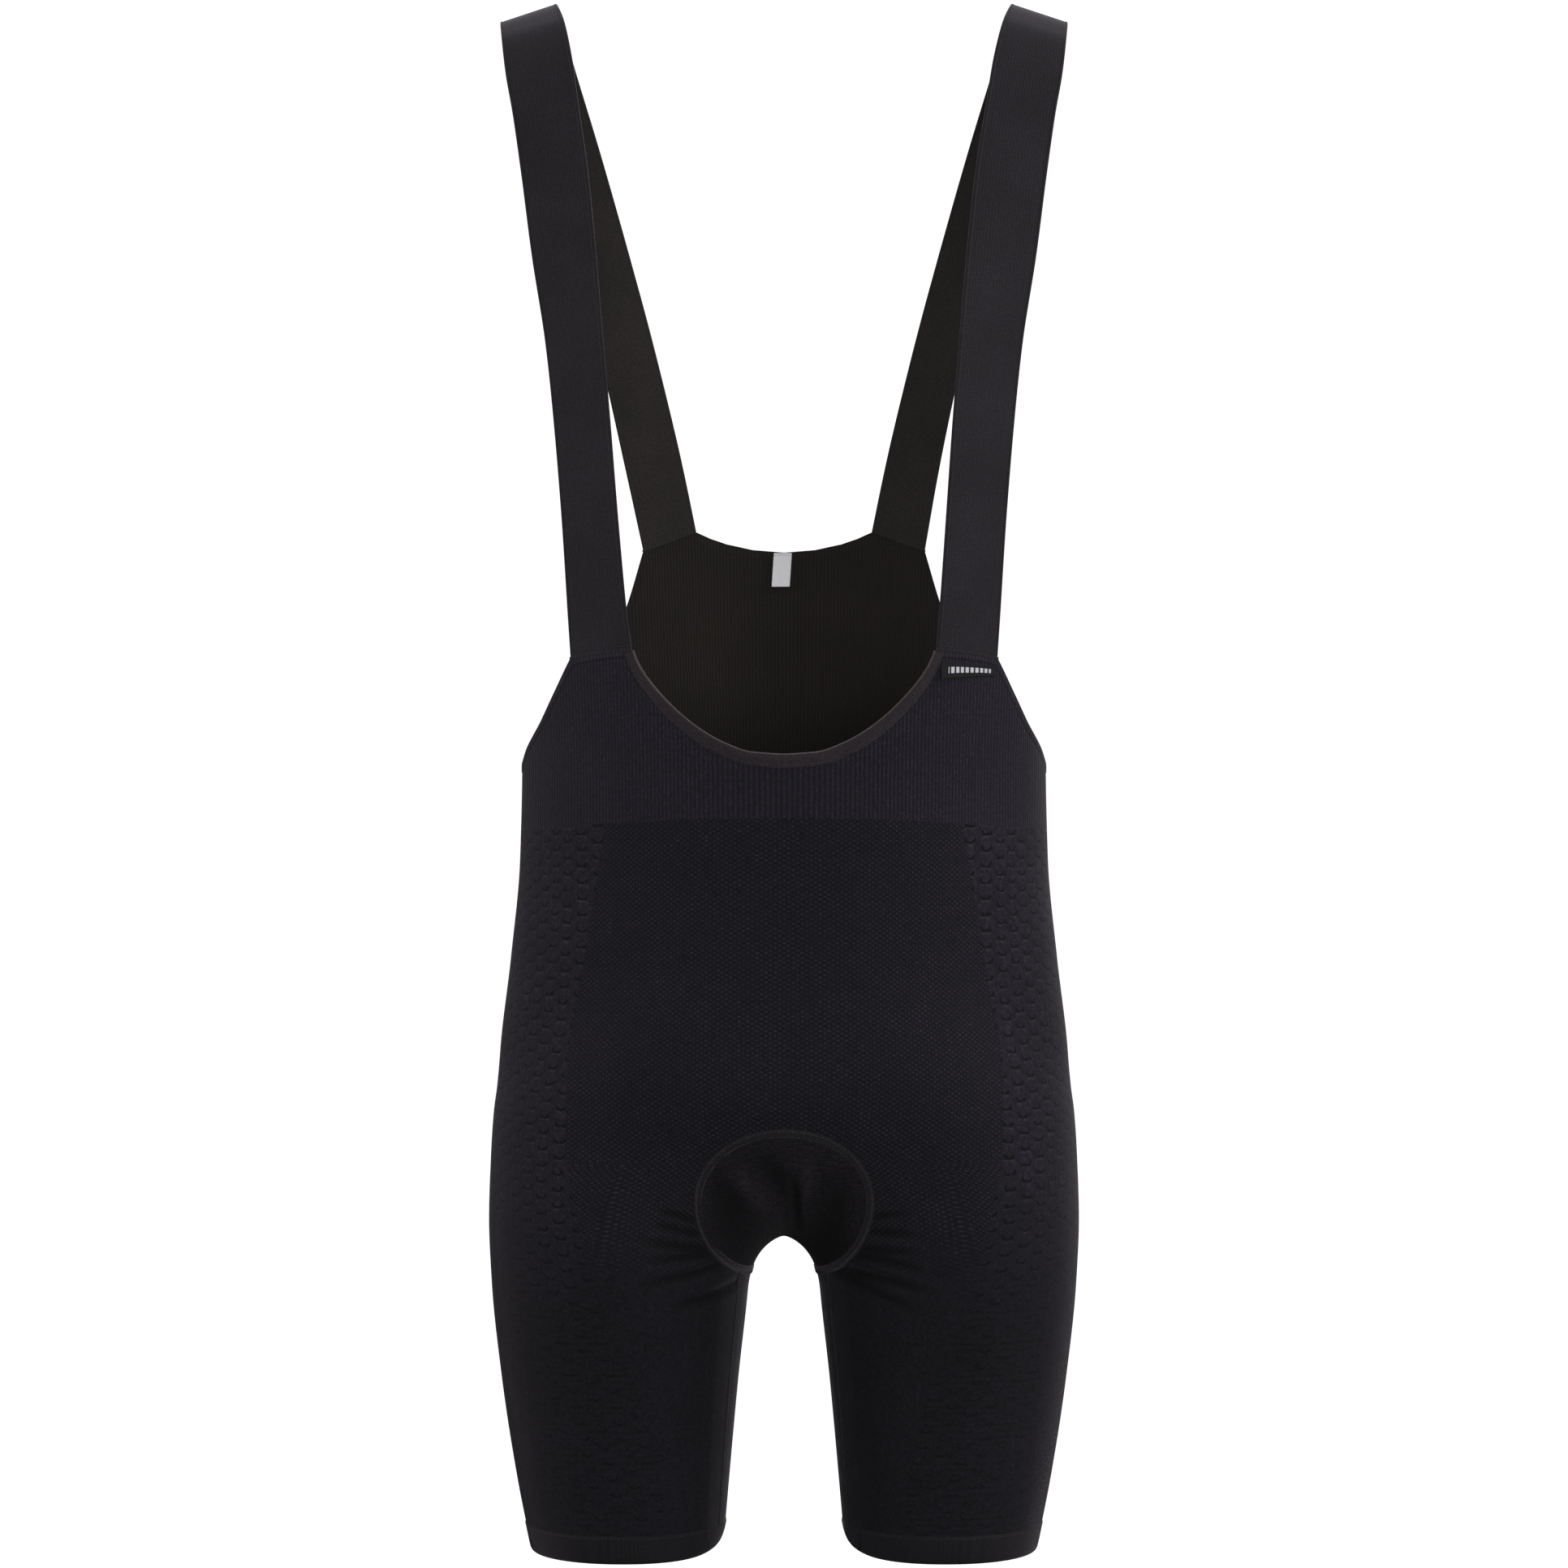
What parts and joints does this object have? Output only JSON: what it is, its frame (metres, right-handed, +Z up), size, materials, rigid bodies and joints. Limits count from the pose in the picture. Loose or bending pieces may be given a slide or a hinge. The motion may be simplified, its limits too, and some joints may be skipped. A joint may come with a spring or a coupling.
{
  "type": "bib liner shorts",
  "caption": "Knitted bib liner shorts filled out as worn: hollow body with a scooped bib, two shoulder straps, open legs with turned hems and a crotch pad.",
  "frame": {"origin": "midway between the crests of the two shoulder straps, where the wearer's shoulders hold the garment", "axes": "+Z up, the front of the garment faces -Y, +X to the right of someone looking at the front; left in a node name is -X and right is +X"},
  "size_m": [0.3642, 0.2343, 0.95],
  "materials": {
    "knit": "matt black ribbed and honeycomb knit with a faint violet cast",
    "strap": "matt black knitted elastic",
    "binding": "matt dark grey folded knit tape",
    "pad": "smooth matt black brushed knit",
    "label": "white satin tape",
    "tab": "black woven tape"
  },
  "bodies": {
    "root": {"body_front": "knit", "body_back": "knit", "leg_hem_left": "knit", "leg_hem_right": "knit", "strap_left": "strap", "strap_right": "strap", "neck_binding": "binding", "crotch_pad": "pad", "care_label": "label", "woven_tab": "tab"}
  },
  "joints": []
}
